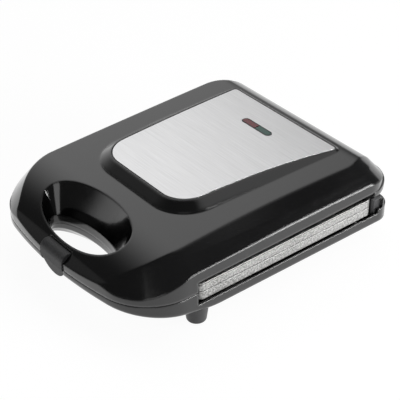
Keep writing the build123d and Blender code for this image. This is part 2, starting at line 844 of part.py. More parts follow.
def heating_element(upper):
    """Bent tube with a terminal pin in each end."""
    z = element_z(upper)
    route = FilletPolyline(
        (-element_leg_x, element_end_y, z), (-element_leg_x, element_cross_y, z),
        (element_leg_x, element_cross_y, z), (element_leg_x, element_end_y, z), radius=element_bend,
    )
    start = Plane(origin=route @ 0, z_dir=route % 0)
    tube = sweep(start * Circle(element_radius), path=route)
    pin_ends = (element_end_y, element_end_y + terminal_pin_length)
    return tube + both_sides(rod_y(element_leg_x, z, terminal_pin_radius, pin_ends))


def element_clamps(upper):
    """Sheet saddles that hold the element legs against the plate's web."""
    z = element_z(upper)
    up = 1.0 if upper else -1.0
    web = z - up * element_radius
    bore = element_radius + clamp_gap
    reach = bore + clamp_thickness
    clamps = []
    for y in clamp_y:
        y_range = (y - clamp_width / 2, y + clamp_width / 2)
        cut_y = (y_range[0] - over, y_range[1] + over)
        arch = rod_y(element_leg_x, z, reach, y_range)
        legs = block((element_leg_x - reach, element_leg_x + reach), y_range, sorted((web, z)))
        above_web = block((element_leg_x - reach, element_leg_x + reach), y_range,
                          sorted((web, z + up * reach)))
        saddle = (arch + legs) & above_web
        saddle = saddle - rod_y(element_leg_x, z, bore, cut_y)
        room = block((element_leg_x - bore, element_leg_x + bore), cut_y, sorted((web - up * over, z)))
        clamps.append(both_sides(saddle - room))
    return group(clamps)


def screw(x, y, head_z, tip_z):
    """Pan-headed screw along Z."""
    up = 1.0 if tip_z > head_z else -1.0
    head = sorted((head_z, head_z + up * screw_head_height))
    shank = sorted((head_z, tip_z))
    recess = sorted((head_z - up * over, head_z + up * screw_slot_depth))
    body = rod_z(x, y, screw_head_radius, head) + rod_z(x, y, screw_radius, shank)
    return body - block((x - screw_radius, x + screw_radius),
                        (y - screw_slot / 2, y + screw_slot / 2), recess)


def group(solids):
    """Separate solids in one node."""
    return Compound([solid for shape in solids for solid in shape.solids()])


def lower_plate_screws():
    """Screws up through the floor, the posts and the shield into the lower plate."""
    tip = lower_post_top_z + shield_thickness + screw_bite
    return group([screw(x, y, foot_height - screw_head_drop, tip) for x, y in corner_places()])


def upper_plate_screws():
    """Screws up from the baking face through the upper plate into the posts of the lid."""
    tip = upper_post_bottom_z + screw_bite
    return group([screw(x, y, upper_plate_bottom_z + sunk_head_depth, tip) for x, y in corner_places()])


def lower_hinge_screw_places():
    """Screw places of the lower hinges."""
    return [(side * hinge_x, y) for side in (-1, 1) for y in (hinge_screw_front_y, hinge_screw_rear_y)]


def lower_hinge(side):
    """Bracket with a foot on the floor of the base and two cheeks that hold the hinge pin."""
    floor = foot_height + cover_wall
    outline = Polyline(
        (hinge_foot_front_y, floor), (hinge_foot_rear_y, floor), (hinge_foot_rear_y, hinge_cheek_rear_z),
        hinge_cheek_heel, (hinge_y, hinge_z), hinge_cheek_crown, (hinge_foot_front_y, hinge_cheek_front_z),
        close=True,
    )
    face = make_face(outline) + Pos(hinge_y, hinge_z) * Circle(hinge_knuckle_radius)
    cheek = across(face, hinge_half())
    gap = hinge_tongue_half + hinge_cheek_gap
    gap_box = block((-gap, gap), (hinge_foot_front_y - over, hinge_y + 2 * hinge_knuckle_radius),
                    (floor + hinge_foot_thickness, hinge_z + 2 * hinge_knuckle_radius))
    body = Pos(side * hinge_x, 0, 0) * (cheek - gap_box)
    housing = hinge_housing()
    if side < 0:
        housing = mirror(housing, about=Plane.YZ)
    body = body + housing
    reach = hinge_half() + over
    bore = rod_x(hinge_y, hinge_z, hinge_pin_radius + hinge_pin_clearance / 2,
                 (side * hinge_x - reach, side * hinge_x + reach))
    body = body - bore
    screw_z = (floor - over, floor + hinge_foot_thickness + over)
    for x, y in lower_hinge_screw_places():
        body = body - rod_z(x, y, screw_radius + screw_clearance, screw_z)
    return body


def hinge_housing():
    """Closed box of the lower hinge in the rear corner, on the right, sloping down to the rear."""
    floor = foot_height + cover_wall
    outline = Polyline(
        (hinge_housing_front_y, floor), (hinge_housing_foot[0], floor), hinge_housing_foot,
        hinge_housing_heel, hinge_housing_crown, (hinge_housing_front_y, hinge_housing_crown[1]), close=True,
    )
    box = extrude(Plane.YZ.offset(hinge_housing_inner_x) * make_face(outline), hinge_housing_width)
    box = chamfer(box.faces().sort_by(Axis.X)[-1].edges(), hinge_housing_chamfer)
    plan = plan_face(base_rear_y, base_rear_corner_radius, cover_wall + seam_gap)
    rim_z = base_rear_rim_z + seam_gap
    low = box & slab(plan, floor, rim_z)
    high = box & block((hinge_housing_inner_x, half_width), (hinge_housing_front_y, base_rear_y),
                       (rim_z, hinge_z + hinge_knuckle_radius))
    bridge = block((hinge_x, hinge_housing_inner_x + over), (hinge_foot_front_y, hinge_housing_foot[0]),
                   (floor, floor + hinge_foot_thickness))
    return low + high + bridge


def lower_hinge_screws():
    """Screws up through the floor into the feet of the lower hinges."""
    tip = foot_height + cover_wall + hinge_foot_thickness + hinge_screw_reach
    return group([screw(x, y, foot_height - screw_head_drop, tip) for x, y in lower_hinge_screw_places()])


def hinge_pin(side):
    """Headed pin through both cheeks and the tongue."""
    inner = hinge_half() + hinge_pin_tail
    outer = hinge_half() + hinge_pin_head_gap
    shank = rod_x(hinge_y, hinge_z, hinge_pin_radius, (-inner, outer))
    head = rod_x(hinge_y, hinge_z, hinge_pin_head_radius, (outer, outer + hinge_pin_head))
    pin = shank + head
    if side < 0:
        pin = mirror(pin, about=Plane.YZ)
    return Pos(side * hinge_x, 0, 0) * pin


def upper_hinge(side):
    """Tongue on the hinge pin with a flange screwed under the lid."""
    flange_top = hinge_flange_bottom_z + hinge_flange_thickness
    outline = Polyline(
        hinge_tongue_heel, (hinge_flange_front_y, hinge_flange_bottom_z),
        (hinge_flange_front_y, flange_top), (hinge_flange_rear_y, flange_top),
        (hinge_flange_rear_y, hinge_tongue_shoulder_z), hinge_tongue_crown, close=True,
    )
    face = make_face(outline) + Pos(hinge_y, hinge_z) * Circle(hinge_tongue_radius)
    tongue = across(face, hinge_tongue_half)
    flange = block((-hinge_flange_half, hinge_flange_half), (hinge_flange_front_y, hinge_flange_rear_y),
                   (hinge_flange_bottom_z, flange_top))
    body = Pos(side * hinge_x, 0, 0) * (tongue + flange)
    reach = hinge_tongue_half + over
    body = body - rod_x(hinge_y, hinge_z, hinge_pin_radius + hinge_pin_clearance,
                        (side * hinge_x - reach, side * hinge_x + reach))
    screw_z = (hinge_flange_bottom_z - over, flange_top + over)
    for x, y in hinge_boss_places():
        body = body - rod_z(x, y, screw_radius + screw_clearance, screw_z)
    return body


def upper_hinge_screws():
    """Screws up through the flanges of the upper hinges into the lid."""
    head = hinge_flange_bottom_z - screw_head_height
    tip = hinge_flange_bottom_z + hinge_flange_thickness + screw_bite
    return group([screw(x, y, head, tip) for x, y in hinge_boss_places()])


def steel_plate():
    """Thin plate that follows the platform, pierced for the lamps."""
    sheet = slab(trim_face(), platform_low_z, platform_clear_z)
    sheet = (sheet & under_trim(0.0, half_width)) - under_trim(trim_thickness, half_width)
    return sheet - lamp_pill(-lamp_gap, platform_low_z, platform_clear_z)


def lamp_top_z():
    """Height of the lenses' tops."""
    return trim_height(lamp_y) + lens_proud


def lamp_bezel():
    """Black frame around both lenses, with a bar between them."""
    top = lamp_top_z()
    low = top - bezel_depth
    ring = lamp_pill(lamp_gap, low, top) - lamp_pill(lamp_gap + bezel_wall, low - over, top + over)
    bar = block((-bezel_wall / 2, bezel_wall / 2), (lamp_y - lamp_half_width, lamp_y + lamp_half_width),
                (low, top - bezel_bar_drop))
    return ring + (bar & lamp_pill(lamp_gap, low, top))


def lens(side):
    """Half of the lamp pill, a clear coloured cover."""
    top = lamp_top_z()
    body = lamp_pill(lamp_gap + bezel_wall + lens_gap, top - lens_depth, top)
    near = bezel_wall / 2 + lens_gap
    x_range = sorted((side * near, side * lamp_half_length))
    y_range = (lamp_y - lamp_half_width, lamp_y + lamp_half_width)
    return body & block(x_range, y_range, (top - lens_depth, top))


def lamp_holder():
    """Open box under the bezel that holds the two lamps."""
    top = lamp_top_z() - bezel_depth
    low = top - lamp_holder_height
    half_y = lamp_half_width + lamp_holder_wall
    half_x = lamp_half_length + lamp_holder_wall
    outer = block((-half_x, half_x), (lamp_y - half_y, lamp_y + half_y), (low, top))
    inner = block((-half_x + lamp_holder_wall, half_x - lamp_holder_wall),
                  (lamp_y - half_y + lamp_holder_wall, lamp_y + half_y - lamp_holder_wall),
                  (low + lamp_holder_wall, top + over))
    wall = block((-lamp_holder_wall / 2, lamp_holder_wall / 2),
                 (lamp_y - half_y, lamp_y + half_y), (low, top))
    return outer - inner + wall


def neon_lamp(side):
    """Small glass lamp lying in its half of the holder."""
    low = lamp_top_z() - bezel_depth - lamp_holder_height + lamp_holder_wall
    middle = side * (lamp_half_length / 2 + neon_offset)
    z = low + neon_radius
    x_range = (middle - neon_length / 2 + neon_radius, middle + neon_length / 2 - neon_radius)
    glass = rod_x(lamp_y, z, neon_radius, x_range)
    for x in x_range:
        glass = glass + Pos(x, lamp_y, z) * Sphere(neon_radius)
    return glass


def tube_along(points, radius, bend):
    """Wire along straight runs with round bends."""
    route = FilletPolyline(*points, radius=bend)
    start = Plane(origin=route @ 0, z_dir=route % 0)
    return sweep(start * Circle(radius), path=route)


def terminal_block():
    """Screw terminals behind the lower plate."""
    floor = foot_height + cover_wall
    top = floor + terminal_block_height
    y_range = (terminal_block_front_y, terminal_block_front_y + terminal_block_depth)
    x_range = (terminal_block_x - terminal_block_length / 2, terminal_block_x + terminal_block_length / 2)
    cut_y = (y_range[0] - over, y_range[1] + over)
    body = block(x_range, y_range, (floor, top))
    pitch = terminal_block_length / terminal_ways
    well_z = (top - terminal_well_depth, top + over)
    for way in range(terminal_ways):
        x = x_range[0] + (way + 0.5) * pitch
        body = body - rod_z(x, sum(y_range) / 2, terminal_well_radius, well_z)
        body = body - rod_y(x, floor + terminal_way_height, wire_radius + terminal_way_gap, cut_y)
    for way in range(terminal_ways - 1):
        x = x_range[0] + (way + 1) * pitch
        body = body - block((x - terminal_groove / 2, x + terminal_groove / 2), cut_y,
                            (top - terminal_groove_depth, top + over))
    return body


def cord_inlet():
    """Grommet through the rear wall of the base."""
    body = rod_y(inlet_x, inlet_z, inlet_radius, (base_rear_screen_y - over, base_rear_y + inlet_flange))
    body = body + rod_y(inlet_x, inlet_z, inlet_flange_radius, (base_rear_y, base_rear_y + inlet_flange))
    return body - rod_y(inlet_x, inlet_z, inlet_bore,
                        (base_rear_screen_y - 2 * over, base_rear_y + inlet_flange + over))


def lower_wiring():
    """Two leads from the lower element to the terminal block."""
    z = element_z(False)
    way_z = foot_height + cover_wall + terminal_way_height
    pin_y = element_end_y + terminal_pin_length + wire_radius
    run_y = (plate_rear_y + terminal_block_front_y) / 2
    leads = []
    for side in (-1, 1):
        x = side * element_leg_x
        way_x = terminal_block_x + side * terminal_block_length / terminal_ways
        leads.append(tube_along([
            (x, pin_y, z), (x, pin_y, way_z), (x, run_y, way_z), (way_x, run_y, way_z),
            (way_x, terminal_block_front_y + lead_bite, way_z),
        ], wire_radius, lead_bend))
    return group(leads)


def thermostat():
    """Bimetal thermostat standing on the upper heat shield."""
    low = upper_post_bottom_z
    body = rod_z(0, thermostat_y, thermostat_radius, (low, low + thermostat_height))
    body = body + rod_z(0, thermostat_y, thermostat_stem_radius,
                        (low + thermostat_height, low + thermostat_height + thermostat_stem))
    reach = thermostat_radius + thermostat_tab_reach
    tab_z = low + thermostat_tab_height
    tab = block((-reach, reach), (thermostat_y - thermostat_tab_half, thermostat_y + thermostat_tab_half),
                (tab_z, tab_z + thermostat_tab_thickness))
    return body + tab


def thermal_fuse():
    """Fuse in a sleeve on the upper heat shield."""
    z = upper_post_bottom_z + fuse_sleeve_radius
    half = fuse_length / 2
    sleeve = rod_y(fuse_x, z, fuse_sleeve_radius, (fuse_y - half, fuse_y + half))
    lead_reach = half + fuse_lead
    return sleeve + rod_y(fuse_x, z, fuse_lead_radius, (fuse_y - lead_reach, fuse_y + lead_reach))


def upper_wiring():
    """Sleeved leads from the tabs of the thermostat to the lamps."""
    holder_z = lamp_top_z() - bezel_depth - lamp_holder_height
    shelf_z = upper_post_bottom_z + thermostat_tab_height + thermostat_tab_thickness + wire_radius
    leads = []
    for side in (-1, 1):
        tab_x = side * lamp_lead_x
        lamp_x = side * lamp_half_length / 2
        leads.append(tube_along([
            (tab_x, thermostat_y, shelf_z), (tab_x, lamp_y - lamp_lead_turn, shelf_z),
            (lamp_x, lamp_y, shelf_z + lamp_lead_rise), (lamp_x, lamp_y, holder_z),
        ], wire_radius, wire_bend))
    return group(leads)


def latch_shank():
    """Side profile of the latch below its head: face, thumb tongue and hook."""
    face_y = front_y - latch_proud
    return make_face(Polyline(
        (latch_pin_y, latch_pin_z), (face_y, latch_pin_z), (face_y, latch_face_bottom_z),
        (latch_tongue_top_y, latch_face_bottom_z - latch_tongue_step),
        (latch_tongue_bottom_y, latch_bottom_z), (latch_back_y, latch_bottom_z),
        (latch_back_y, latch_hook_bottom_z), (latch_hook_tip_y, latch_hook_bottom_z),
        (latch_hook_tip_y, latch_hook_top_z), (latch_back_y, latch_hook_top_z),
        (latch_back_y, latch_pin_z - latch_knuckle_radius), close=True,
    ))


def latch():
    """Clip with a round head about its pin, a round thumb tongue below the seam and a hook."""
    centre = Pos(latch_pin_y, latch_pin_z)
    size = 2 * latch_head_radius
    behind = Pos(latch_back_y + size / 2, latch_pin_z - latch_head_cut - size / 2)
    head = centre * Circle(latch_head_radius) - behind * Rectangle(size, size)
    face = head + centre * Circle(latch_knuckle_radius) + latch_shank()
    body = across(face, latch_half_width)
    reach_y = (front_y - latch_room, latch_pin_y + latch_head_radius + over)
    upper = block((-latch_half_width, latch_half_width), reach_y,
                  (latch_face_bottom_z - latch_tongue_step, latch_pin_z + latch_head_radius))
    disc = rod_y(0, latch_bottom_z + latch_tongue_radius, latch_tongue_radius, reach_y)
    body = body & (upper + disc)
    spring_reach = spring_coil_radius + spring_wire_radius + latch_knuckle_room
    gap = block((-latch_spring_gap_half, latch_spring_gap_half),
                (latch_pin_y - spring_reach, latch_pin_y + latch_head_radius + over),
                (latch_pin_z - latch_knuckle_radius - over, latch_pin_z + spring_reach))
    body = body - gap
    bore = rod_x(latch_pin_y, latch_pin_z, latch_pin_radius + latch_pin_clearance,
                 (-latch_half_width - over, latch_half_width + over))
    return body - bore


def latch_pin():
    """Pin of the latch, held in the lid at both ends."""
    half = latch_half_width + latch_side_gap + latch_cheek / 2
    return rod_x(latch_pin_y, latch_pin_z, latch_pin_radius, (-half, half))


def latch_spring():
    """Torsion spring wound around the latch pin."""
    pitch = 2 * spring_wire_radius + spring_pitch_gap
    height = pitch * spring_turns
    coil = Helix(pitch, height, spring_coil_radius)
    start = Plane(origin=coil @ 0, z_dir=coil % 0)
    wire = sweep(start * Circle(spring_wire_radius), path=coil, is_frenet=True)
    return Pos(-height / 2, latch_pin_y, latch_pin_z) * Rot(0, 90, 0) * wire


def foot_places():
    """Centres of the four feet."""
    front = [(side * foot_front_x, foot_front_y) for side in (-1, 1)]
    return front + [(side * foot_rear_x, foot_rear_y) for side in (-1, 1)]


def foot(x, y):
    """Turned foot, cut to the underside of the base, with a spigot through the floor."""
    spigot_top = foot_height + foot_spigot_height
    half_profile = Polyline(
        (0, 0), (foot_bottom_radius, 0), (foot_top_radius, foot_height),
        (foot_top_radius, spigot_top), (0, spigot_top), close=True,
    )
    face = make_face(half_profile)
    rim = face.vertices().sort_by_distance((foot_bottom_radius, 0))[0]
    body = Pos(x, y, 0) * revolve(Plane.XZ * fillet(rim, foot_round), Axis.Z)
    return body - base_body() + rod_z(x, y, foot_spigot_radius, (foot_height - over, spigot_top))


pieces = {
    "lower_cover": lower_cover(),
    "lower_heat_shield": heat_shield(lower_post_top_z),
    "lower_baking_plate": lower_baking_plate(),
    "lower_heating_element": heating_element(False),
    "lower_element_clamps": element_clamps(False),
    "lower_plate_screws": lower_plate_screws(),
    "lower_hinge_left": lower_hinge(-1),
    "lower_hinge_right": lower_hinge(1),
    "lower_hinge_screws": lower_hinge_screws(),
    "hinge_pin_left": hinge_pin(-1),
    "hinge_pin_right": hinge_pin(1),
    "terminal_block": terminal_block(),
    "cord_inlet": cord_inlet(),
    "lower_wiring": lower_wiring(),
    "upper_cover": upper_cover(),
    "steel_plate": steel_plate(),
    "lamp_bezel": lamp_bezel(),
    "red_lens": lens(-1),
    "green_lens": lens(1),
    "lamp_holder": lamp_holder(),
    "red_lamp": neon_lamp(-1),
    "green_lamp": neon_lamp(1),
    "upper_heat_shield": heat_shield(upper_post_bottom_z - shield_thickness),
    "upper_baking_plate": upper_baking_plate(),
    "upper_heating_element": heating_element(True),
    "upper_element_clamps": element_clamps(True),
    "upper_plate_screws": upper_plate_screws(),
    "upper_hinge_left": upper_hinge(-1),
    "upper_hinge_right": upper_hinge(1),
    "upper_hinge_screws": upper_hinge_screws(),
    "thermostat": thermostat(),
    "thermal_fuse": thermal_fuse(),
    "upper_wiring": upper_wiring(),
    "latch_pin": latch_pin(),
    "latch_spring": latch_spring(),
    "latch": latch(),
}
foot_names = ("foot_front_left", "foot_front_right", "foot_rear_left", "foot_rear_right")
for name, place in zip(foot_names, foot_places()):
    pieces[name] = foot(*place)

for name, shape in pieces.items():
    export_step(Pos(0, outline_shift_y, 0) * shape, f"parts/{name}.step")
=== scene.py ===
# %% [markdown]
# This file dresses a folding cookie maker. Its solids come from a CAD program and arrive here as
# fixed meshes, in metres, with Z up and the handle towards -Y. Nothing below moves them: the work
# is in the finishes, the studio and the camera.

# %% Load the solids
import json
import math

import bmesh
import bpy
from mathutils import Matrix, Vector

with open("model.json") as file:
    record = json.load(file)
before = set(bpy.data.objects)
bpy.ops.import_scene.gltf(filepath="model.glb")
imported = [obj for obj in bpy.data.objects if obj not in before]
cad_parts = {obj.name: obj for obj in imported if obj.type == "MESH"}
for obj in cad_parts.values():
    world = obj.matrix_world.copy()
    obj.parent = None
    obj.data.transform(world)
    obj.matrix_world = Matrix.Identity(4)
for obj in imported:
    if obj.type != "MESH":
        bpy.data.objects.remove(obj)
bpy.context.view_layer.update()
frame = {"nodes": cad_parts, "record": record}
solids = frame["nodes"]

# %% [markdown]
# The camera stands where the photographer stood: to the right of the handle and well above the
# lid, on a long lens, so the far edges hardly shrink. A direction from two angles and one distance
# is easier to reason about than three coordinates.

# %% Camera
TURN = math.radians(50.93)
RISE = math.radians(34.48)
DISTANCE = 1.23179
TARGET = Vector((0.0, 0.0088, 0.03083))
LENS = 118.0
SENSOR_WIDTH = 36.0


def towards(turn, rise):
    """Unit vector at an angle round from -Y and an angle up from the floor."""
    level = math.cos(rise)
    return Vector((math.sin(turn) * level, -math.cos(turn) * level, math.sin(rise)))


lens_data = bpy.data.cameras.new("camera")
lens_data.sensor_width = SENSOR_WIDTH
lens_data.lens = LENS
camera = bpy.data.objects.new("camera", lens_data)
bpy.context.scene.collection.objects.link(camera)
camera.location = TARGET + towards(TURN, RISE) * DISTANCE
camera.rotation_euler = (camera.location - TARGET).to_track_quat("Z", "Y").to_euler()
bpy.context.scene.camera = camera
bpy.context.scene.view_settings.view_transform = "Standard"
print("camera at", [round(c, 4) for c in camera.location])

# %% [markdown]
# Finishes are small sums: a colour plus a little noise, a roughness plus wear. Written as nodes
# they are hard to read, so one class wraps a socket and lets Python write the sum. Every operator
# adds one Math node and hands back its result, wrapped again.

# %% Sums on sockets
EDGE_SAMPLES = 10
WEAR_STEP = (0.02, 0.25)


class Signal:
    """A number that varies over a surface and can stand in a Python sum."""

    def __init__(self, bench, socket):
        self.bench = bench
        self.socket = socket

    def maths(self, operation, *values):
        """The result of a Math node on the given values."""
        node = self.bench.add("ShaderNodeMath", {"operation": operation}, dict(enumerate(values)))
        return Signal(self.bench, node.outputs[0])

    def __add__(self, other):
        return self.maths("ADD", self, other)

    def __radd__(self, other):
        return self.maths("ADD", other, self)

    def __sub__(self, other):
        return self.maths("SUBTRACT", self, other)

    def __rsub__(self, other):
        return self.maths("SUBTRACT", other, self)

    def __mul__(self, other):
        return self.maths("MULTIPLY", self, other)

    def __rmul__(self, other):
        return self.maths("MULTIPLY", other, self)

    def smooth(self, low, high):
        """0 below low, 1 above high and a soft step between them."""
        node = self.bench.add(
            "ShaderNodeMapRange", {"interpolation_type": "SMOOTHSTEP"}, {0: self, 1: low, 2: high}
        )
        return Signal(self.bench, node.outputs[0])


class Bench:
    """The node tree of one finish, with a single method that adds a node."""

    def __init__(self, tree):
        self.tree = tree
        self.tree.nodes.clear()

    def add(self, kind, settings=None, inputs=None):
        """Adds a node: its settings first, then the values or links of its sockets."""
        node = self.tree.nodes.new(kind)
        for name, value in (settings or {}).items():
            setattr(node, name, value)
        for name, value in (inputs or {}).items():
            if isinstance(value, Signal):
                self.tree.links.new(value.socket, node.inputs[name])
            elif isinstance(value, bpy.types.NodeSocket):
                self.tree.links.new(value, node.inputs[name])
            else:
                node.inputs[name].default_value = value
        return node

    def place(self, scale=(1.0, 1.0, 1.0)):
        """Object coordinates, in metres, stretched along each axis."""
        spot = self.add("ShaderNodeTexCoord").outputs["Object"]
        return self.add("ShaderNodeMapping", None, {"Vector": spot, "Scale": scale}).outputs[0]

    def along(self, axis):
        """One coordinate of the surface, in metres."""
        parts = self.add("ShaderNodeSeparateXYZ", None, {0: self.add("ShaderNodeTexCoord").outputs["Object"]})
        return Signal(self, parts.outputs[axis])

    def noise(self, scale, detail=3.0, stretch=(1.0, 1.0, 1.0)):
        """Noise from 0 to 1, with about scale lumps to the metre."""
        node = self.add(
            "ShaderNodeTexNoise", None, {"Vector": self.place(stretch), "Scale": scale, "Detail": detail}
        )
        return Signal(self, node.outputs[0])

    def cells(self, scale):
        """Distance to the nearest of scattered points, for pits and grains."""
        node = self.add("ShaderNodeTexVoronoi", None, {"Vector": self.place(), "Scale": scale})
        return Signal(self, node.outputs["Distance"])

    def between(self, share, first, second):
        """A colour between two others."""
        node = self.add("ShaderNodeMix", {"data_type": "RGBA"}, {"Factor": share})
        for socket, value in zip([s for s in node.inputs if s.type == "RGBA"], (first, second)):
            if isinstance(value, bpy.types.NodeSocket):
                self.tree.links.new(value, socket)
            else:
                socket.default_value = (*value, 1.0)
        return [s for s in node.outputs if s.type == "RGBA"][0]

    def rounded(self, radius):
        """The normal of the surface as if its edges were rounded off."""
        return self.add("ShaderNodeBevel", {"samples": EDGE_SAMPLES}, {"Radius": radius}).outputs[0]

    def alike(self, first, second):
        """The dot product of two vectors: 1 where two directions agree."""
        node = self.add("ShaderNodeVectorMath", {"operation": "DOT_PRODUCT"}, {0: first, 1: second})
        return Signal(self, node.outputs["Value"])

    def worn(self, radius):
        """Wear: 1 on the edges, over about a radius, and 0 on the flats beside them."""
        flat = self.add("ShaderNodeNewGeometry").outputs["Normal"]
        return (1.0 - self.alike(self.rounded(radius), flat)).smooth(*WEAR_STEP)

    def rays(self, *kinds):
        """1 for the kinds of light ray that are named and 0 for the others."""
        path = self.add("ShaderNodeLightPath").outputs
        seen = Signal(self, path[kinds[0]])
        for kind in kinds[1:]:
            seen = seen.maths("MAXIMUM", seen, Signal(self, path[kind]))
        return seen

    def bump(self, height, depth, strength, normal=None):
        """A bumped normal: height from 0 to 1 over a depth in metres."""
        inputs = {"Height": height, "Distance": depth, "Strength": strength}
        if normal is not None:
            inputs["Normal"] = normal
        return self.add("ShaderNodeBump", None, inputs).outputs[0]

    def shade(self, **sockets):
        """The Principled shader and the output that it feeds."""
        named = {name.replace("_", " "): value for name, value in sockets.items()}
        shader = self.add("ShaderNodeBsdfPrincipled", None, named)
        self.add("ShaderNodeOutputMaterial", None, {"Surface": shader.outputs[0]})


def finish(name):
    """A new, empty material and the bench that fills it."""
    material = bpy.data.materials.new(name)
    material.use_nodes = True
    return material, Bench(material.node_tree)


# %% [markdown]
# The two covers are injection-moulded and polished black plastic. Up close it isn't a mirror: it
# has a faint orange-peel ripple, fine polishing marks, and edges that have gone slightly paler.
# The mould leaves every edge rounded by a few millimetres, and that is what catches the long
# white highlights. A Bevel node gives that roundness to the shading without touching the mesh.

# %% Black gloss plastic
MOULD_ROUND = 0.0034
PEEL_SCALE = 700.0
PEEL_DEPTH = 0.00006
BLACK = (0.003, 0.003, 0.0032)
BLACK_FADED = (0.0055, 0.0055, 0.0058)
BLACK_WORN = (0.05, 0.05, 0.052)


def black_gloss():
    """Polished black plastic of the two covers."""
    material, bench = finish("black_gloss")
    clouds = bench.noise(9.0, 4.0)
    rubs = bench.noise(260.0, 5.0, (1.0, 0.25, 1.0))
    peel = bench.noise(PEEL_SCALE, 2.0)
    worn = bench.worn(0.0009)
    colour = bench.between(clouds.smooth(0.3, 0.75), BLACK, BLACK_FADED)
    colour = bench.between(worn * rubs.smooth(0.45, 0.7) * 0.5, colour, BLACK_WORN)
    rough = 0.09 + clouds * 0.04 + rubs.smooth(0.4, 0.8) * 0.05 + worn * 0.04
    bench.shade(
        Base_Color=colour, Roughness=rough, IOR=1.5, Coat_Weight=0.5, Coat_Roughness=0.04,
        Normal=bench.bump(peel, PEEL_DEPTH, 0.1, bench.rounded(MOULD_ROUND)),
    )
    return material


# %% [markdown]
# The latch, the feet and the hinge brackets come from moulds that were spark-eroded, so the skin is
# a fine matt leather. Small noise bumps break the highlight up, and a slow second noise keeps the
# grey from looking painted on.

# %% Grained grey plastics
GRAIN_DEPTH = 0.00012
WORN_BRIGHTER = 1.8


def grained_plastic(name, dark, pale, rough, fineness):
    """Matt plastic with a leather grain of some lumps to the metre."""
    material, bench = finish(name)
    grain = bench.noise(fineness, 2.0)
    clouds = bench.noise(30.0, 3.0)
    worn = bench.worn(0.0007)
    colour = bench.between(grain.smooth(0.3, 0.7) * 0.5 + clouds * 0.4, dark, pale)
    colour = bench.between(worn * 0.45, colour, tuple(c * WORN_BRIGHTER for c in pale))
    bench.shade(
        Base_Color=colour, Roughness=rough + grain * 0.12 - worn * 0.08,
        Normal=bench.bump(grain, GRAIN_DEPTH, 0.5, bench.rounded(0.0008)),
    )
    return material


# %% [markdown]
# The plate on the lid is stainless steel, drawn under a belt that runs from side to side. The belt
# leaves thousands of hair-thin lines along X: noise that is far denser along Y than along X makes
# them, and they go into the roughness, the colour and a very shallow bump.

# %% Brushed trim
HAIR_STRETCH = (26.0, 2200.0, 60.0)
STROKE_STRETCH = (8.0, 500.0, 20.0)
HAIR_DEPTH = 0.00004
STEEL = (0.76, 0.76, 0.765)
STEEL_HAIR = (0.9, 0.9, 0.905)
STEEL_STROKE = (0.92, 0.92, 0.925)


def brushed_trim():
    """Brushed stainless steel of the plate on the lid."""
    material, bench = finish("brushed_trim")
    hairs = bench.noise(1.0, 3.0, HAIR_STRETCH)
    strokes = bench.noise(1.0, 2.0, STROKE_STRETCH)
    clouds = bench.noise(14.0, 2.0)
    colour = bench.between(hairs.smooth(0.3, 0.7), STEEL, STEEL_HAIR)
    colour = bench.between(strokes.smooth(0.35, 0.7) * 0.2, colour, STEEL_STROKE)
    bench.shade(
        Base_Color=colour, Metallic=1.0, Roughness=0.3 + hairs * 0.14 + clouds * 0.05,
        Normal=bench.bump(hairs, HAIR_DEPTH, 0.35, bench.rounded(0.0005)),
    )
    return material


# %% [markdown]
# The baking plates are cast aluminium, bare at the edges that show in the side slot. A casting has
# a sandy skin with small pits, is paler where it rubs against the cover, and darkens with use.

# %% Cast aluminium
SAND_SCALE = 620.0
PIT_SCALE = 420.0
SAND_DEPTH = 0.00015
CAST = (0.28, 0.28, 0.275)
CAST_STAINED = (0.17, 0.17, 0.165)
CAST_BRIGHT = (0.62, 0.62, 0.61)
CAST_WORN = (0.7, 0.7, 0.69)


def cast_aluminium():
    """Bare sand-cast aluminium of the baking plates."""
    material, bench = finish("cast_aluminium")
    sand = bench.noise(SAND_SCALE, 4.0)
    pits = bench.cells(PIT_SCALE)
    stains = bench.noise(26.0, 4.0)
    worn = bench.worn(0.0006)
    colour = bench.between(stains.smooth(0.35, 0.75), CAST, CAST_STAINED)
    colour = bench.between(sand.smooth(0.4, 0.65) * 0.7, colour, CAST_BRIGHT)
    colour = bench.between(worn * 0.4, colour, CAST_WORN)
    height = sand * 0.6 + pits.smooth(0.0, 0.35) * 0.4
    bench.shade(
        Base_Color=colour, Metallic=0.9, Roughness=0.38 + sand * 0.18 + stains * 0.06,
        Normal=bench.bump(height, SAND_DEPTH, 0.45, bench.rounded(0.0008)),
    )
    return material


# %% [markdown]
# Inside are plain steels. Sheet and tube are rolled, with soft long streaks and a little heat
# tint; screws and pins are zinc plated, with a fine speckle. One function makes both.

# %% Plain steels
HEAT_TINT = (0.42, 0.36, 0.28)
STREAK_DEPTH = 0.00005


def plain_steel(name, dark, pale, rough, stretch):
    """Steel with noise streaks that are as fine along each axis as stretch says."""
    material, bench = finish(name)
    streaks = bench.noise(1.0, 4.0, stretch)
    tint = bench.noise(35.0, 3.0)
    colour = bench.between(streaks.smooth(0.3, 0.7), dark, pale)
    colour = bench.between(tint.smooth(0.5, 0.8) * 0.3, colour, HEAT_TINT)
    bench.shade(
        Base_Color=colour, Metallic=1.0, Roughness=rough + streaks * 0.15,
        Normal=bench.bump(streaks, STREAK_DEPTH, 0.3, bench.rounded(0.0003)),
    )
    return material


# %% [markdown]
# The two lamp windows are tinted clear plastic over dark holders, ribbed across so that the little
# lamps behind them glow as one bar. The ribs are a sine of X, turned into a bump and into painted
# light on the tint: painted shade in the grooves and a painted highlight on the ribs. A hard gloss
# coat makes them look moulded and not painted.

# %% Lamp windows
RIB_PITCH = 0.0014
RIB_DEPTH = 0.00025


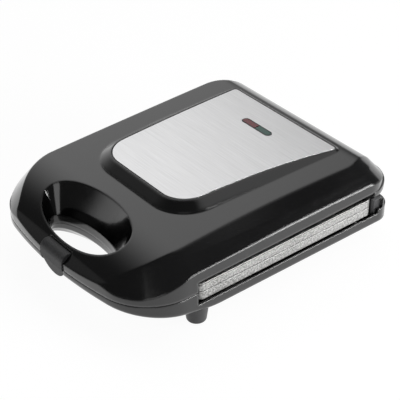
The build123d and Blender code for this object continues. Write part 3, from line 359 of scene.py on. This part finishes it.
def lamp_window(name, groove_shade_tint, rib_highlight_tint):
    """Tinted plastic, with painted shade in the grooves and a painted highlight on the ribs."""
    material, bench = finish(name)
    wave = bench.along("X") * (2 * math.pi / RIB_PITCH)
    rib = wave.maths("SINE", wave) * 0.5 + 0.5
    haze = bench.noise(400.0, 2.0)
    # Painted light: the tint goes darker in the grooves as painted shade and paler on the ribs as a painted
    # highlight; the haze adds random tone.
    colour = bench.between(rib * 0.6 + haze * 0.3, groove_shade_tint, rib_highlight_tint)
    bench.shade(
        Base_Color=colour, Roughness=0.18 + haze * 0.08, IOR=1.49, Coat_Weight=0.2, Coat_Roughness=0.05,
        Normal=bench.bump(rib, RIB_DEPTH, 0.35, bench.rounded(0.0003)),
    )
    return material


# %% [markdown]
# Two materials are left: the glass of the lamps, faintly frosted by its electrode film, and the
# rubber of the cord sleeve and the wires, which is dull with a trace of talc.

# %% Lamp glass and rubber
GLASS = (0.75, 0.72, 0.68)
GLASS_FILM = (0.55, 0.5, 0.46)
RUBBER = (0.012, 0.012, 0.012)
RUBBER_TALC = (0.045, 0.045, 0.044)
TALC_DEPTH = 0.00008


def lamp_glass():
    """Frosted glass of the lamps."""
    material, bench = finish("lamp_glass")
    film = bench.noise(500.0, 3.0)
    colour = bench.between(film.smooth(0.4, 0.7), GLASS, GLASS_FILM)
    bench.shade(Base_Color=colour, Roughness=0.08 + film * 0.15, IOR=1.5, Transmission_Weight=0.6)
    return material


def black_rubber():
    """Dull rubber of the cord sleeve and the wires."""
    material, bench = finish("black_rubber")
    talc = bench.noise(600.0, 4.0)
    colour = bench.between(talc.smooth(0.5, 0.8), RUBBER, RUBBER_TALC)
    bench.shade(
        Base_Color=colour, Roughness=0.6 + talc * 0.2,
        Normal=bench.bump(talc, TALC_DEPTH, 0.4, bench.rounded(0.0003)),
    )
    return material


# %% [markdown]
# The record of the part says which finish each solid takes. Looking them up there, and not in a
# list of our own, keeps the render and the record in step.

# %% Give every solid its finish
finishes = {
    "black_gloss": black_gloss(),
    "grey_plastic": grained_plastic("grey_plastic", (0.02, 0.02, 0.021), (0.048, 0.048, 0.049), 0.42, 1200),
    "latch_plastic": grained_plastic("latch_plastic", (0.018, 0.018, 0.019), (0.08, 0.08, 0.082), 0.5, 750),
    "brushed_trim": brushed_trim(),
    "cast_aluminium": cast_aluminium(),
    "sheet_steel": plain_steel("sheet_steel", (0.42, 0.42, 0.43), (0.6, 0.6, 0.61), 0.28, (40, 700, 40)),
    "screw_steel": plain_steel("screw_steel", (0.5, 0.5, 0.51), (0.7, 0.7, 0.7), 0.25, (900, 900, 900)),
    "red_clear": lamp_window("red_clear", (0.08, 0.003, 0.006), (0.34, 0.014, 0.026)),
    "green_clear": lamp_window("green_clear", (0.005, 0.04, 0.03), (0.02, 0.18, 0.13)),
    "lamp_glass": lamp_glass(),
    "black_rubber": black_rubber(),
}
for row in frame["record"]["subparts"]:
    mesh = solids[row["node"]].data
    mesh.materials.clear()
    mesh.materials.append(finishes[row["material_slot"]])
print("finishes:", ", ".join(sorted(finishes)))

# %% [markdown]
# Polished black plastic shows hardly anything of its own: its tones are mirrored lights. So the
# world is a dark studio with a white backdrop around the horizon and two soft lights. A large
# window hangs at the left, where the deck of the lid mirrors it; it fades towards the front, which
# leaves the facets by the handle dark. A small ceiling panel lies behind the zenith, above the
# slanting flank. The backdrop shows in every rounded edge as a thin pale line. The camera and clear
# plastic see plain white.

# %% World
WHITE = (1.0, 1.0, 1.0, 1.0)
WINDOW = (-0.83, 0.13, 0.54)
WINDOW_REACH = (0.62, 0.99)
WINDOW_FADE = (-0.6, 0.3)
WINDOW_LEVEL = 1.06
CEILING = (0.1, 0.5, 0.86)
CEILING_REACH = (0.88, 0.98)
CEILING_LEVEL = 0.7
STUDIO_LEVEL = 0.08
BACKDROP_FADE = (0.064, 0.16)
BACK = (0.0, 1.0, 0.0)
UP = (0.0, 0.0, 1.0)

world = bpy.data.worlds.new("studio")
bpy.context.scene.world = world
world.use_nodes = True
bench = Bench(world.node_tree)
ray = bench.add("ShaderNodeTexCoord").outputs["Generated"]


def nearness(direction):
    """Cosine of the angle between a ray of the world and a direction."""
    return bench.alike(ray, tuple(Vector(direction).normalized()))


window = nearness(WINDOW).smooth(*WINDOW_REACH) * nearness(BACK).smooth(*WINDOW_FADE)
ceiling = nearness(CEILING).smooth(*CEILING_REACH)
backdrop = 1.0 - nearness(UP).smooth(*BACKDROP_FADE)
clear = bench.rays("Is Camera Ray", "Is Transmission Ray")
studio = window * WINDOW_LEVEL + ceiling * CEILING_LEVEL + STUDIO_LEVEL
studio = studio * (1.0 - backdrop) + backdrop
level = studio * (1.0 - clear) + clear
background = bench.add("ShaderNodeBackground", None, {"Color": WHITE, "Strength": level})
bench.add("ShaderNodeOutputWorld", None, {"Surface": background.outputs[0]})

# %% [markdown]
# Under the object lies a sheet of white paper, wide enough to reach past the frame in every view.
# The camera and the mirroring walls see it glow an even white, and the share that stays plain
# paper keeps a faint shadow.

# %% Floor
FLOOR_RADIUS = 5.0
FLOOR_SIDES = 96
FLOOR_DROP = 0.0004
PAPER = (0.93, 0.93, 0.93)
PAPER_PALE = (0.95, 0.95, 0.95)
GLOW_SHARE = 0.85
GLOW_LEVEL = 1.1


def white_paper():
    """Paper that glows for the eye and its mirrors, and takes shadow with what is left."""
    material, bench = finish("floor_white")
    colour = bench.between(bench.noise(120.0, 3.0), PAPER, PAPER_PALE)
    paper = bench.add("ShaderNodeBsdfPrincipled", None, {"Base Color": colour, "Roughness": 0.9})
    glow = bench.add("ShaderNodeEmission", None, {"Color": WHITE, "Strength": GLOW_LEVEL})
    share = bench.rays("Is Camera Ray", "Is Glossy Ray", "Is Transmission Ray") * GLOW_SHARE
    both = bench.add("ShaderNodeMixShader", None, {0: share, 1: paper.outputs[0], 2: glow.outputs[0]})
    bench.add("ShaderNodeOutputMaterial", None, {"Surface": both.outputs[0]})
    return material


def stage_floor():
    """A round floor, a hair below the feet."""
    shape = bmesh.new()
    bmesh.ops.create_circle(shape, cap_ends=True, segments=FLOOR_SIDES, radius=FLOOR_RADIUS)
    bmesh.ops.translate(shape, verts=shape.verts, vec=(0.0, 0.0, -FLOOR_DROP))
    mesh = bpy.data.meshes.new("floor")
    shape.to_mesh(mesh)
    shape.free()
    mesh.materials.append(white_paper())
    floor = bpy.data.objects.new("floor", mesh)
    bpy.context.scene.collection.objects.link(floor)


stage_floor()

# %% [markdown]
# Two lamps finish the studio. A long strip stands low at the right and behind, where the rounded
# edge along the lid's side band mirrors it as one white line. A weaker box at the right and in
# front opens up the edges of the baking plates and the feet.

# %% Lamps
def soft_box(name, direction, distance, width, height, radiance):
    """An area lamp that faces the object; a radiance of 1 looks white in a mirror."""
    direction = Vector(direction)
    lamp = bpy.data.lights.new(name, "AREA")
    lamp.shape = "RECTANGLE"
    lamp.size = width
    lamp.size_y = height
    lamp.energy = radiance * math.pi * width * height
    box = bpy.data.objects.new(name, lamp)
    bpy.context.scene.collection.objects.link(box)
    box.location = TARGET + direction.normalized() * distance
    box.rotation_euler = direction.to_track_quat("Z", "Y").to_euler()


soft_box("edge_strip", (0.85, 0.52, 0.04), distance=1.6, width=1.3, height=0.65, radiance=18.0)
soft_box("front_box", (0.8, -0.75, 0.35), distance=1.8, width=0.8, height=0.6, radiance=1.5)
